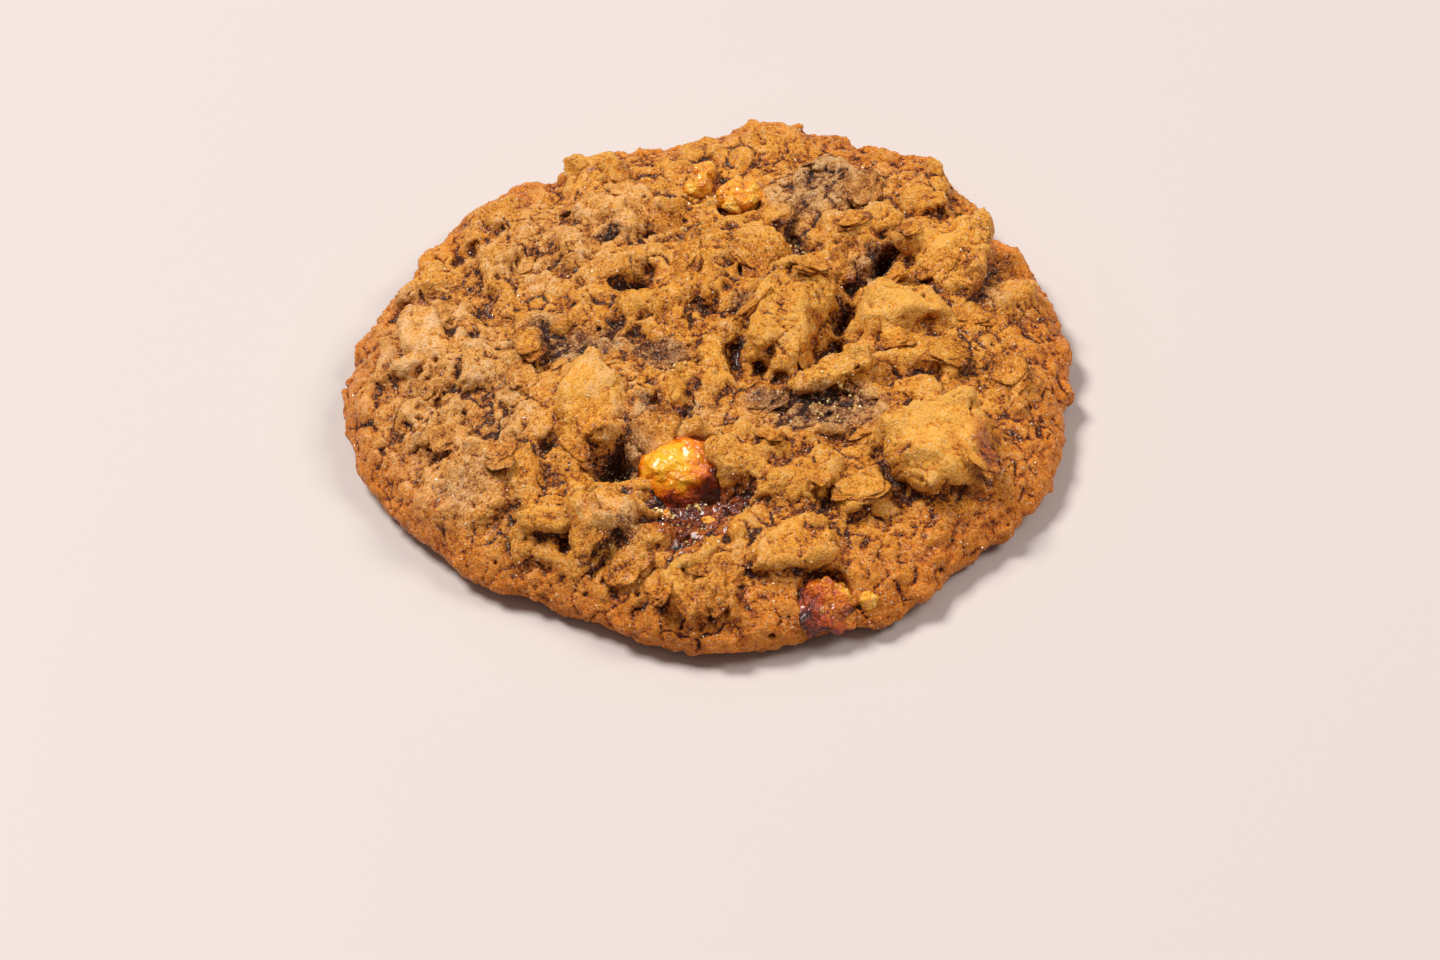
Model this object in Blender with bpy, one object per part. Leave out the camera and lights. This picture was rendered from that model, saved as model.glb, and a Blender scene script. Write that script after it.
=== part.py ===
"""One round granola cookie, baked flat-bottomed: a lumpy disc of oat dough with a glazed nut, an amber
sugar chunk and a piece of candied fruit set into its top. Metres, +Z up, resting on z = 0."""

import math

import bmesh
import bpy
from mathutils import Matrix, Vector, noise

MM = 0.001

# The disc of dough
MEAN_RADIUS = 46.3 * MM
CROWN_HEIGHT = 11.2 * MM  # the dough at the middle, without its lumps
EDGE_HEIGHT = 3.3 * MM  # where the side bulges out furthest
UNDER_CURL = 3.6 * MM  # how far the side turns in on its way down to the tray
SHOULDER_POWER = 3.2  # higher keeps the top flat for longer before it falls to the edge
SHOULDER_ROUND = 0.6
GRID_CELLS = 48  # cells across the disc
CELLS_OUTWARD = 0.08  # how much the cells crowd towards the edge, where the top curves most
SIDE_STEPS = 4
LUMP_ROUND = 0.8  # under 1 makes lumps with steep sides, and over 1 makes hollows with soft lips
HOLLOW_ROUND = 1.3
WAVE_LENGTH = 7 * MM  # loose unevenness of the dough between the lumps
WAVE_HEIGHT = 0.45 * MM
SCALLOP_LENGTH = 0.16  # of the radius
SCALLOP_DEPTH = 0.55 * MM

# Swellings and notches of the outline: degrees from +X, half width in degrees, millimetres outwards
RIM_SWELLS = (
    (75, 13, 3.4), (50, 15, 2.2), (103, 5, 1.8), (125, 9, 2.6), (172, 14, 1.2), (27, 3, -1.9),
    (-6, 5, 1.2), (-10, 2.5, -1.1), (-34, 14, 2.0), (-66, 12, 1.6), (-87, 6, 0.8), (-112, 7, -1.2),
    (-126, 15, -4.4), (-150, 12, -2.2), (-163, 4, -1.0),
)  # fmt: skip

# Lumps of dough over oats and nuts, in millimetres: x, y, length, width, degrees from +X, rise
LUMPS = (
    (12.3, 2.8, 22.0, 10.0, 71, 3.5),  # a whole nut under the dough, right of the middle
    (-15.2, -7.5, 17.5, 15.5, -30, 2.7),  # the round clump left of the middle
    (-22.5, -5.5, 8.0, 10.5, 80, 1.6),
    (33.0, 12.0, 13.5, 13.0, 0, 3.0),  # the boulder at the right
    (26.0, 2.2, 14.0, 8.0, 5, 2.3),
    (28.0, -22.5, 15.0, 14.5, 20, 2.7),
    (-35.5, 8.5, 8.5, 11.0, 95, 2.3),
    (-28.5, 0.5, 9.0, 11.5, 80, 1.9),
    (-33.0, -5.5, 8.5, 8.0, 0, 1.5),
    (-31.5, -18.5, 15.0, 13.0, 35, 1.8),
    (-8.0, 28.0, 14.0, 12.5, -10, 2.3),
    (-11.0, 38.5, 9.5, 8.0, 0, 1.9),
    (-24.5, 23.0, 7.5, 7.5, 0, 1.8),
    (-15.5, 21.0, 7.0, 9.0, 0, 1.6),
    (-25.0, 33.0, 10.0, 8.0, 30, 1.4),
    (-34.0, 20.0, 9.0, 8.0, 40, 1.4),
    (9.0, 17.2, 9.5, 9.5, 0, 1.9),
    (2.8, 17.5, 6.5, 7.5, 0, 1.7),
    (-3.5, 7.0, 8.5, 8.5, 0, 2.1),
    (-8.5, 18.0, 11.0, 6.0, 5, 1.5),
    (1.8, 10.5, 6.5, 7.5, 0, 1.7),
    (22.0, 17.5, 8.0, 9.5, 60, 2.1),
    (17.5, -8.8, 10.0, 5.0, 15, 1.7),
    (27.0, -7.0, 12.0, 5.5, -5, 1.6),
    (27.0, -12.5, 7.0, 6.5, 0, 1.4),
    (33.0, 27.0, 12.0, 12.0, 0, 1.5),
    (12.0, 40.5, 17.0, 10.0, -5, 1.5),
    (19.5, 28.0, 13.0, 12.5, 0, 1.3),
    (-15.0, -28.5, 9.5, 8.5, 0, 2.0),
    (-22.0, -26.0, 7.5, 8.5, 0, 1.6),
    (-24.5, -17.0, 6.0, 11.0, 15, 1.6),
    (9.5, -27.5, 9.5, 6.5, 0, 1.4),
    (17.5, -28.5, 8.0, 6.5, 0, 1.5),
    (9.0, -36.0, 11.0, 8.0, 0, 1.5),
    (-4.5, -39.5, 10.5, 9.0, 20, 1.6),
    (-11.5, -34.5, 8.5, 7.5, 0, 1.5),
    (5.2, -22.0, 10.0, 8.5, -20, 1.7),  # the smear of dough that runs up against the glazed nut
    (-3.8, -7.0, 4.5, 8.0, 90, 1.7),
    (-41.5, -4.0, 8.0, 11.0, 90, 1.1),
    (41.0, 3.0, 8.5, 13.0, 90, 1.3),
    (40.0, -13.0, 9.0, 12.0, 80, 1.3),
    (36.0, -27.0, 9.0, 11.0, 60, 1.0),
)

# Hollows between the lumps, in millimetres: x, y, length, width, degrees from +X, depth
HOLLOWS = (
    (16.4, -4.0, 5.5, 7.5, 60, 3.8),
    (18.8, 2.2, 3.5, 5.0, 80, 2.6),
    (20.8, 8.8, 4.0, 8.5, 80, 3.0),
    (5.6, -3.0, 11.0, 3.5, 72, 2.0),
    (24.6, 12.2, 6.5, 7.0, 0, 2.7),
    (13.8, 17.2, 7.0, 4.5, -50, 2.8),
    (-7.0, 14.0, 8.0, 5.0, 0, 2.9),
    (-10.2, 23.2, 5.5, 4.5, 0, 1.9),
    (1.8, 22.2, 7.5, 4.0, 0, 2.1),
    (-12.8, -19.8, 8.0, 7.0, 0, 3.2),
    (-12.5, 4.0, 21.0, 6.5, -12, 1.6),  # the sunken damp band
    (-3.0, -29.2, 15.0, 6.5, -6, 2.4),  # where burnt sugar pooled
    (22.2, -28.8, 5.0, 4.5, 0, 1.7),
    (-25.5, 11.0, 6.0, 4.0, 0, 1.7),
    (-30.0, 26.5, 10.0, 3.5, 85, 1.5),
    (31.0, 6.4, 6.0, 3.5, 0, 1.5),
    (10.0, -14.5, 18.0, 8.0, 0, 1.0),
)

POCKET_GAP = 0.4 * MM  # the crumb shrinks back from what is baked into it
# What is set into the top: name, centre, length, width, thickness, turn about Z, tilt along the length,
# how pointed the far end is; millimetres and degrees
TOPPINGS = (
    ("glazed_nut", (-4.0, -21.2, 9.7), (13.4, 10.0, 7.8), -14, 8, 0.42),
    ("amber_chunk", (7.6, 27.6, 9.9), (7.4, 5.6, 5.0), 62, 0, 0.2),
    ("candied_fruit", (10.6, -42.6, 5.6), (6.6, 6.2, 3.6), 78, -38, 0.15),
)
TOPPING_RINGS = 10
TOPPING_SEGMENTS = 18
FACET_LENGTH = 3.5 * MM  # knobbly unevenness of a topping
FACET_HEIGHT = 0.35 * MM

COLOURS = {  # base colour and roughness
    "cookie_dough": ((0.47, 0.23, 0.07), 0.75),
    "glazed_nut": ((0.60, 0.20, 0.02), 0.15),
    "amber_chunk": ((0.70, 0.29, 0.03), 0.25),
    "candied_fruit": ((0.30, 0.05, 0.01), 0.2),
}


def clear_scene():
    for obj in list(bpy.data.objects):
        bpy.data.objects.remove(obj)


def rim_radius(azimuth):
    """Distance from the middle to the outline."""
    radius = MEAN_RADIUS
    for middle, half_width, outwards in RIM_SWELLS:
        away = (math.degrees(azimuth) - middle + 180) % 360 - 180
        radius += outwards * MM * math.exp(-((away / half_width) ** 2))
    around = Vector((math.cos(azimuth), math.sin(azimuth), 0)) / SCALLOP_LENGTH
    return radius + SCALLOP_DEPTH * noise.noise(around)


def inward(point, x, y, length, width, turn):
    """1 at the middle of an oval, in millimetres, and falling to 0 at its outline and beyond."""
    away = Matrix.Rotation(-math.radians(turn), 2) @ (point / MM - Vector((x, y)))
    distance = Vector((2 * away.x / length, 2 * away.y / width)).length
    return max(0.0, 1 - distance**2)


def top_height(point, share):
    """Height of the dough's top over a point; share is its way out from the middle, 1 at the outline."""
    shoulder = (1 - min(share, 1.0) ** SHOULDER_POWER) ** SHOULDER_ROUND
    height = EDGE_HEIGHT + (CROWN_HEIGHT - EDGE_HEIGHT) * shoulder
    rise = max(most * MM * inward(point, *oval) ** LUMP_ROUND for *oval, most in LUMPS)
    depth = max(most * MM * inward(point, *oval) ** HOLLOW_ROUND for *oval, most in HOLLOWS)
    wave = WAVE_HEIGHT * noise.noise(point.to_3d() / WAVE_LENGTH)
    # Lumps and hollows fade out over the rounded edge, so the outline keeps its own shape.
    return height + (rise - depth + wave) * min(1.0, 2.2 * shoulder)


def disc_place(across, along):
    """Bends a point of the square grid, -1 to 1 each way, onto the disc: (share of the radius, azimuth)."""
    ring = max(abs(across), abs(along))
    share = ring + CELLS_OUTWARD * math.sin(math.pi * ring)
    if ring == 0:
        return share, 0.0
    if abs(across) > abs(along):
        return share, math.pi / 4 * along / across + (0 if across > 0 else math.pi)
    return share, math.pi / 2 - math.pi / 4 * across / along + (0 if along > 0 else math.pi)


def side_place(azimuth, step):
    """A point on the side, from the bulge at step 0 down to the flat underside at the last step."""
    angle = math.pi / 2 * step / SIDE_STEPS
    radius = rim_radius(azimuth) - UNDER_CURL * (1 - math.cos(angle))
    height = EDGE_HEIGHT * (1 - math.sin(angle)) if step < SIDE_STEPS else 0.0
    return Vector((radius * math.cos(azimuth), radius * math.sin(azimuth), height))


def make_object(name, form):
    mesh = bpy.data.meshes.new(name)
    form.to_mesh(mesh)
    form.free()
    mesh.shade_smooth()
    obj = bpy.data.objects.new(name, mesh)
    bpy.context.collection.objects.link(obj)
    return obj


def add_material(obj):
    colour, roughness = COLOURS[obj.name]
    material = bpy.data.materials.new(obj.name)
    material.use_nodes = True
    shader = material.node_tree.nodes["Principled BSDF"]
    shader.inputs["Base Color"].default_value = (*colour, 1)
    shader.inputs["Roughness"].default_value = roughness
    shader.inputs["Metallic"].default_value = 0.0
    obj.data.materials.append(material)


def make_dough():
    """A grid bent onto the disc makes the top; its outer edge is drawn down round the side and closed flat."""
    form = bmesh.new()
    bmesh.ops.create_grid(form, x_segments=GRID_CELLS, y_segments=GRID_CELLS, size=1)
    for vertex in form.verts:
        # Corners of the grid drift off round numbers, and the edge has to be exactly 1.
        across, along = (round(value, 5) for value in vertex.co.xy)
        share, azimuth = disc_place(across, along)
        radius = share * rim_radius(azimuth)
        point = Vector((radius * math.cos(azimuth), radius * math.sin(azimuth)))
        vertex.co = (*point, top_height(point, share))
    edge = [e for e in form.edges if e.is_boundary]
    for step in range(1, SIDE_STEPS + 1):
        drawn = bmesh.ops.extrude_edge_only(form, edges=edge)["geom"]
        edge = [item for item in drawn if isinstance(item, bmesh.types.BMEdge) and item.is_boundary]
        for vertex in {v for e in edge for v in e.verts}:
            vertex.co = side_place(math.atan2(vertex.co.y, vertex.co.x), step)
    bmesh.ops.edgeloop_fill(form, edges=edge)
    bmesh.ops.recalc_face_normals(form, faces=form.faces)
    return make_object("cookie_dough", form)


def topping_form(centre, size, turn, tilt, point, grow):
    """A knobbly ball squashed to size, drawn to a point at one end and swollen by grow all round."""
    form = bmesh.new()
    bmesh.ops.create_uvsphere(form, u_segments=TOPPING_SEGMENTS, v_segments=TOPPING_RINGS, radius=1)
    place = (
        Matrix.Translation(Vector(centre) * MM)
        @ Matrix.Rotation(math.radians(turn), 4, "Z")
        @ Matrix.Rotation(math.radians(tilt), 4, "Y")
    )
    for vertex in form.verts:
        out = vertex.co.copy()
        narrow = 1 - point * max(0.0, -out.x) ** 2
        shaped = Vector((out.x * size[0], out.y * size[1] * narrow, out.z * size[2] * narrow)) * MM / 2
        knobs = FACET_HEIGHT * noise.noise(shaped / FACET_LENGTH + Vector(centre))
        vertex.co = place @ (shaped + out * (knobs + grow))
    return form


def set_in(dough, name, centre, size, turn, tilt, point):
    """Makes one topping, and cuts its pocket in the dough with a slightly larger copy of it."""
    topping = make_object(name, topping_form(centre, size, turn, tilt, point, 0))
    pocket = make_object(name + "_pocket", topping_form(centre, size, turn, tilt, point, POCKET_GAP))
    pocket.hide_render = True
    pocket.display_type = "WIRE"
    cut = dough.modifiers.new(pocket.name, "BOOLEAN")
    cut.operation = "DIFFERENCE"
    cut.object = pocket
    return topping


def stand_on_origin(dough):
    """Moves everything sideways together, so that the middle of the dough's box is over the origin."""
    corners = [Vector(corner) for corner in dough.bound_box]
    middle = sum(corners, Vector()) / len(corners)
    for obj in bpy.data.objects:
        obj.location -= Vector((middle.x, middle.y, 0))


clear_scene()
cookie = make_dough()
pieces = [cookie] + [set_in(cookie, *topping) for topping in TOPPINGS]
for piece in pieces:
    add_material(piece)
stand_on_origin(cookie)
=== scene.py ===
import math

import bmesh
import bpy
import numpy as np
from mathutils import Matrix, Vector, noise
from mathutils.bvhtree import BVHTree
from mathutils.kdtree import KDTree


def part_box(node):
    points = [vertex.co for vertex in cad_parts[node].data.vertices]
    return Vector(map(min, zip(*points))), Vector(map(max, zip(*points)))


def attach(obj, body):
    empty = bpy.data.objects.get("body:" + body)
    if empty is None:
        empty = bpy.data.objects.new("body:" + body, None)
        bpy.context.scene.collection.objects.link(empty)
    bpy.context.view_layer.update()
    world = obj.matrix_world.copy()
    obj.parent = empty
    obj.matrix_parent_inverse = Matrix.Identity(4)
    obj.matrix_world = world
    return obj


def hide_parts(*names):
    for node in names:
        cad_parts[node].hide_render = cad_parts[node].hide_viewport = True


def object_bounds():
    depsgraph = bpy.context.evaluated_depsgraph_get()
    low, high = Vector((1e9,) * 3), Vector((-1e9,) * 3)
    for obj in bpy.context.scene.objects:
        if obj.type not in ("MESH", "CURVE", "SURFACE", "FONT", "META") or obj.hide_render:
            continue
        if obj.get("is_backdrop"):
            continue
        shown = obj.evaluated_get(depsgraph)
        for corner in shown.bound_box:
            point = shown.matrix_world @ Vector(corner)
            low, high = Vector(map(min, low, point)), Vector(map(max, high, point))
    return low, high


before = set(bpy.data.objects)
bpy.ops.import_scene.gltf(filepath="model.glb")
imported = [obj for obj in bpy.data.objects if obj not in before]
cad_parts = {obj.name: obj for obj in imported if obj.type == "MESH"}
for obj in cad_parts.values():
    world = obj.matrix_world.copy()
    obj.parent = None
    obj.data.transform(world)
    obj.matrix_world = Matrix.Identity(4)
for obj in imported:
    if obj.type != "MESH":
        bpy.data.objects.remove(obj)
cad_low, cad_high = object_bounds()
MM = 0.001
SEED = 7
chance = np.random.default_rng(SEED)
noise.seed_set(SEED)  # noise_vector otherwise starts somewhere else in each run

# ------------------------------------------------------------------------------------------------
# The crust: oat dough, scooped, pressed flat and baked on a tray.
# The frame gives its big lumps. Clots of dough and buried oats are pressed into that, all is kneaded
# into one skin, and the skin cracks, pits and browns.

# The clots that show most, in millimetres: x, y, length, width, degrees from +X, how far each stands out
CLOTS = (
    # far left
    (-35.0, 8.0, 10.5, 6.8, 95, 1.3), (-39.3, 6.5, 7.0, 5.0, 80, 0.8), (-43.5, 13.0, 6.0, 5.0, 60, 0.6),
    (-35.0, 20.3, 8.5, 4.6, 15, 1.0), (-33.0, 26.0, 7.0, 5.0, 80, 0.9), (-24.6, 22.8, 5.4, 5.2, 0, 1.5),
    (-24.0, 33.0, 6.0, 5.2, 30, 1.0), (-28.3, 30.0, 7.5, 4.4, 75, 0.8), (-19.5, 30.5, 7.0, 6.0, 0, 0.9),
    (-11.5, 37.2, 8.5, 6.6, -5, 1.1), (-4.5, 42.5, 6.0, 5.0, 0, 0.4), (-21.0, 40.0, 6.5, 5.0, 20, 0.5),
    (-9.2, 31.0, 10.0, 6.0, -5, 1.3), (-8.2, 26.4, 6.0, 5.0, 0, 1.7), (-14.6, 22.2, 7.0, 4.8, 85, 1.4),
    (-12.2, 17.6, 5.2, 4.2, 0, 1.1), (-8.0, 18.2, 4.2, 3.4, 20, 1.3), (-4.6, 20.2, 5.4, 3.4, -15, 1.5),
    (-1.2, 18.8, 4.4, 3.6, 0, 1.1), (-2.9, 15.0, 5.6, 4.0, 80, 1.0), (-7.2, 10.3, 4.8, 4.2, 20, 1.6),
    (-1.6, 11.0, 4.8, 4.2, 80, 1.4), (-3.3, 5.4, 7.0, 6.4, 0, 1.7), (-12.2, 13.2, 4.6, 4.4, 0, 0.7),
    (-18.0, 15.6, 5.4, 4.0, 0, 1.0), (-23.8, 14.0, 4.2, 3.2, 80, 1.0), (-21.7, 5.2, 6.2, 3.0, 85, 1.5),
    (-27.0, 4.2, 8.6, 6.8, 85, 0.9), (-31.6, 4.0, 9.0, 2.8, 68, 1.3), (-29.4, 12.2, 6.4, 3.2, 80, 0.8),
    (-12.0, 2.0, 4.4, 4.0, 0, 0.8), (-17.0, 26.6, 4.6, 4.2, 0, 0.7), (-2.0, 30.5, 6.4, 5.0, 70, 0.9),
    # far right
    (11.8, 23.0, 4.2, 3.6, 70, 1.4), (13.2, 27.2, 5.6, 3.4, -35, 0.9), (9.0, 17.2, 7.6, 7.0, 40, 1.4),
    (2.8, 17.8, 5.4, 5.2, 0, 1.1), (2.7, 11.8, 5.2, 4.0, 80, 1.4), (6.8, 7.8, 7.6, 5.6, 60, 1.0),
    (12.4, 2.8, 22.5, 9.4, 70, 2.3), (18.6, 14.8, 4.8, 3.2, 80, 0.8), (22.6, 16.8, 6.6, 5.6, 60, 1.6),
    (25.6, 21.0, 6.0, 5.0, -40, 1.0), (29.5, 15.8, 6.0, 5.4, 20, 2.0), (34.2, 12.0, 12.6, 9.0, 80, 1.9),
    (26.9, 8.6, 4.2, 4.0, 0, 0.5), (24.2, 2.8, 9.0, 7.0, 30, 2.1), (30.0, 2.8, 6.6, 5.2, -10, 1.3),
    (42.0, 10.0, 9.0, 5.0, 95, 0.7), (40.5, 2.2, 7.0, 6.0, 0, 0.7), (32.6, 25.4, 9.0, 6.4, 80, 1.0),
    (37.8, 22.5, 7.5, 5.0, 110, 0.8), (31.8, 34.5, 7.4, 6.4, -45, 0.9), (26.8, 32.8, 6.4, 4.8, 80, 0.7),
    (21.6, 41.0, 6.0, 5.0, -30, 0.8), (12.0, 43.0, 10.5, 7.0, -5, 0.6), (8.0, 37.2, 7.4, 5.0, 0, 0.7),
    (2.8, 39.6, 6.6, 6.0, 0, 0.8), (19.4, 28.0, 10.0, 9.0, 30, 0.6),
    # near right
    (1.7, -2.6, 9.0, 4.6, 95, 1.5), (15.8, -8.0, 11.6, 3.3, 9, 1.6), (25.6, -6.2, 10.6, 3.6, -8, 1.7),
    (31.6, -7.8, 4.0, 3.2, 40, 1.4), (27.0, -12.6, 5.2, 4.8, 0, 1.4), (28.2, -21.6, 13.0, 11.5, 15, 1.7),
    (24.8, -18.0, 7.4, 3.6, 15, 1.2), (31.2, -26.0, 7.0, 5.6, -50, 1.1), (7.6, -21.6, 3.4, 3.2, 0, 0.9),
    (4.6, -22.4, 6.6, 5.6, -35, 1.2), (11.2, -23.0, 4.6, 4.2, 0, 0.8), (16.6, -22.2, 5.6, 5.0, 0, 0.9),
    (9.6, -27.4, 9.4, 4.8, 0, 1.1), (17.2, -29.0, 5.8, 4.2, 0, 1.2), (8.6, -36.4, 10.6, 7.0, 0, 1.2),
    (1.4, -33.4, 4.6, 4.0, 0, 0.9), (1.0, -38.2, 4.8, 4.6, 0, 1.1), (38.4, -13.0, 9.0, 5.4, 80, 0.7),
    (21.5, -11.6, 4.0, 3.2, 0, 0.8), (17.4, -16.4, 5.0, 4.0, 20, 0.7), (12.0, -16.8, 5.2, 4.0, -20, 0.6),
    # near left
    (-15.3, -7.6, 14.6, 10.6, 85, 2.0), (-22.3, -7.4, 10.0, 6.0, 80, 1.3), (-18.8, -16.8, 5.6, 5.0, 0, 1.0),
    (-23.4, -17.6, 7.4, 3.6, 100, 1.2), (-27.6, -16.6, 8.0, 4.2, 100, 0.7), (-4.2, -7.4, 5.0, 2.9, 85, 1.5),
    (-7.4, -5.8, 5.2, 4.0, 80, 0.7), (-6.8, -12.6, 5.2, 4.4, 0, 1.1), (-37.4, -3.4, 4.8, 4.6, 0, 1.1),
    (-32.8, -5.2, 6.8, 4.6, 80, 1.1), (-35.4, -8.6, 6.6, 3.6, -15, 0.9), (-31.4, -18.6, 13.0, 11.0, 40, 0.8),
    (-20.8, -25.0, 7.6, 6.4, -20, 1.6), (-14.4, -28.0, 8.6, 6.4, 0, 1.7), (-10.8, -24.8, 4.8, 3.8, 0, 1.2),
    (-22.6, -29.8, 6.4, 4.2, -20, 0.9), (-9.8, -32.2, 6.6, 5.0, 0, 1.0), (-17.2, -34.0, 6.6, 5.2, 0, 0.8),
    (-6.8, -39.6, 6.6, 3.8, 80, 1.2), (-2.2, -42.0, 5.0, 4.8, 0, 1.2), (-3.4, -36.6, 5.6, 4.4, 0, 1.3),
)  # fmt: skip
# Dough smeared over the glazed nut's right end and up its far side, in millimetres: middle, size,
# degrees from +X
SMEAR = (
    ((1.2, -22.6, 12.4), (5.0, 5.6, 3.0), -30), ((3.0, -24.0, 11.5), (6.2, 5.8, 3.6), -35),
    ((5.6, -25.4, 10.4), (5.2, 4.8, 3.6), -40), ((1.8, -26.2, 10.7), (4.2, 2.8, 2.8), -20),
    ((-3.2, -17.4, 11.2), (10.0, 3.0, 2.8), -6), ((-9.4, -18.6, 10.0), (4.0, 3.0, 2.4), 50),
)  # fmt: skip
CLOT_THICKNESS = 0.8  # over width
CLOT_SPREAD = 1.10  # a clot flattens to this times its listed size
CLOT_CRISPNESS = 9  # of the edges between the flats that a broken clot has
# Holes and cracks between them, in millimetres: x, y, length, width, degrees from +X, depth
CRACKS = (
    (16.2, -3.9, 6.4, 4.4, 60, 3.2), (18.9, 2.0, 4.4, 2.4, 75, 2.4), (20.7, 8.8, 8.0, 3.0, 82, 2.8),
    (10.0, 8.0, 4.0, 1.8, 60, 1.8), (4.6, -1.2, 6.0, 2.0, 78, 2.2), (5.0, -8.4, 4.0, 2.2, 20, 2.0),
    (24.4, 12.4, 5.0, 5.0, 0, 1.6), (13.4, 17.6, 6.4, 2.8, -48, 2.2), (-7.6, 14.2, 6.8, 3.4, 5, 2.6),
    (-10.0, 23.4, 4.4, 3.4, 0, 1.2), (1.6, 22.4, 6.4, 2.4, 0, 1.6), (-13.0, -19.8, 6.6, 5.6, 0, 2.4),
    (22.4, -28.6, 4.0, 2.8, 30, 1.4), (-25.2, 10.6, 4.6, 2.2, 20, 1.5), (-30.0, 26.0, 8.0, 2.0, 88, 1.2),
    (31.0, 6.6, 3.8, 2.2, 0, 1.4), (-20.6, 0.2, 3.0, 2.0, 0, 1.8), (-33.4, 17.2, 5.4, 1.6, -35, 1.2),
    (-34.0, 0.8, 3.6, 2.0, 0, 1.2), (17.0, -12.8, 4.0, 2.0, 95, 1.5), (3.4, -35.0, 4.6, 1.5, 60, 1.4),
    (9.4, -32.2, 9.0, 0.9, 0, 0.9), (-3.2, -12.8, 4.4, 2.0, 60, 1.8), (-28.0, -5.8, 6.0, 1.0, -5, 1.1),
    (33.4, -27.0, 6.4, 1.6, 70, 1.2), (20.4, 21.0, 3.0, 2.0, 0, 1.3), (-2.4, 22.2, 4.0, 1.2, 0, 1.2),
    (-42.8, -10.6, 4.6, 1.1, -30, 1.0), (-7.2, -36.6, 5.0, 1.0, 60, 1.2), (-12.4, -36.2, 4.0, 1.0, 20, 0.9),
    (-18.6, -5.0, 4.6, 0.9, 50, 0.8), (-22.6, -12.6, 2.6, 1.6, 60, 1.1), (28.4, 12.6, 4.0, 2.0, 85, 1.4),
    (36.2, 21.0, 4.4, 1.2, -60, 0.8), (6.6, 31.6, 2.6, 1.8, 0, 1.0), (0.0, 14.6, 2.6, 1.4, 70, 1.0),
    (2.0, -28.4, 5.4, 4.0, 0, 2.4), (-4.2, -27.2, 13.0, 4.0, -4, 2.6), (-10.8, 7.4, 4.0, 2.2, -30, 1.0),
    (-27.8, 13.2, 3.4, 2.6, 0, 1.2), (29.4, -2.6, 5.0, 1.2, 0, 1.0), (-3.4, -30.4, 9.0, 5.0, 0, 0.9),
    (-4.0, -13.6, 3.0, 2.4, 20, 1.8), (4.6, -35.6, 4.6, 1.2, 50, 1.2), (-1.0, -38.6, 6.0, 0.8, 20, 0.8),
)  # fmt: skip
# Where the skin dried smooth, and where it is damp, golden, pale or soaked with burnt sugar: as above,
# with how much in place of the depth. The golden places are partly painted light: a brighter tone on lumps
# that the lamps leave dim.
SMOOTH = (
    (-31.5, -18.5, 17, 14, 40, 1.3), (-15.2, -7.5, 17, 13, 85, 1.2), (-35.5, 8.5, 13, 9, 95, 1.2),
    (28.0, -22.0, 15, 13, 15, 0.9), (33.0, 13.0, 13, 11, 80, 0.7), (-8.0, 29.0, 14, 11, 0, 0.8),
    (8.0, -36.0, 11, 8, 0, 0.9), (-14.5, -28.0, 9, 7, 0, 0.8), (26.0, 2.0, 14, 9, 0, 0.8),
)  # fmt: skip
DAMP = (
    (-15.0, 3.6, 18, 10, -10, 1.2), (-5.0, 0.4, 12, 7, -25, 1.1), (15.0, -14.0, 20, 11, -8, 1.1),
    (-8.0, -10.0, 6, 5, 0, 0.9), (7.5, -11.0, 8, 5, 0, 1.0), (19.0, 29.5, 18, 16, 20, 0.8),
    (7.0, 7.5, 8, 7, 0, 0.8), (24.4, 11.5, 9, 8, 0, 1.2), (-20.0, 9.0, 8, 6, 0, 0.9),
    (-10.0, 23.5, 7, 5, 0, 0.8), (-11.0, -20.0, 9, 9, 0, 1.0), (38.0, 3.0, 6, 5, 0, 0.7),
    (-27.5, -8.5, 9, 5, 0, 0.6), (1.0, 22.0, 10, 5, 0, 0.7), (-11.5, -31.5, 8, 6, 0, 0.7),
    (14.0, 18.0, 8, 6, 0, 0.8), (-2.0, -12.0, 8, 6, 0, 0.7), (-31.5, -18.5, 17, 14, 40, 0.6),
)  # fmt: skip
GOLDEN_AND_LIT = (
    (26.0, 2.5, 16, 10, 0, 2.1), (28.5, -21.5, 16, 14, 15, 2.2), (32.0, 14.0, 14, 12, 60, 1.1),
    (-15.0, -5.5, 15, 15, 0, 1.3), (29.0, -17.5, 17, 15, 10, 1.7), (13.0, 3.5, 12, 20, -15, 0.8),
    (25.5, -16.5, 9, 5, 15, 1.1), (32.0, -28.0, 7, 6, 0, 1.0), (-6.0, -38.0, 5, 9, 0, 1.2),
    (17.0, -29.0, 8, 5, 0, 0.9), (-4.0, -8.5, 4, 6, 0, 0.9), (-21.5, 5.0, 4, 8, 0, 1.1),
    (12.0, 23.0, 5, 6, 0, 1.2), (2.0, -3.0, 5, 12, 0, 0.9), (15.5, -8.0, 13, 4, 9, 1.0),
    (29.0, -7.5, 9, 4, 0, 1.0), (-35.5, 8.0, 10, 11, 0, 0.8), (-11.5, 38.0, 11, 9, 0, 0.8),
    (-33.0, 24.0, 16, 12, 60, 0.7), (14.0, 5.0, 9, 15, -10, 0.7), (-6.0, 10.5, 6, 6, 0, 0.9),
)  # fmt: skip
PALE = (
    (-33, 0, 30, 56, 10, 1.0), (-17, 25, 32, 24, 0, 0.8), (19.5, 29, 19, 17, 20, 2.2),
    (-14, -4, 18, 18, 0, 0.6), (-10, -12, 12, 10, 0, 0.6), (6, -14, 26, 10, 0, 0.5),
    (-12, -30, 14, 12, 0, 0.4),
)  # fmt: skip
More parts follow.
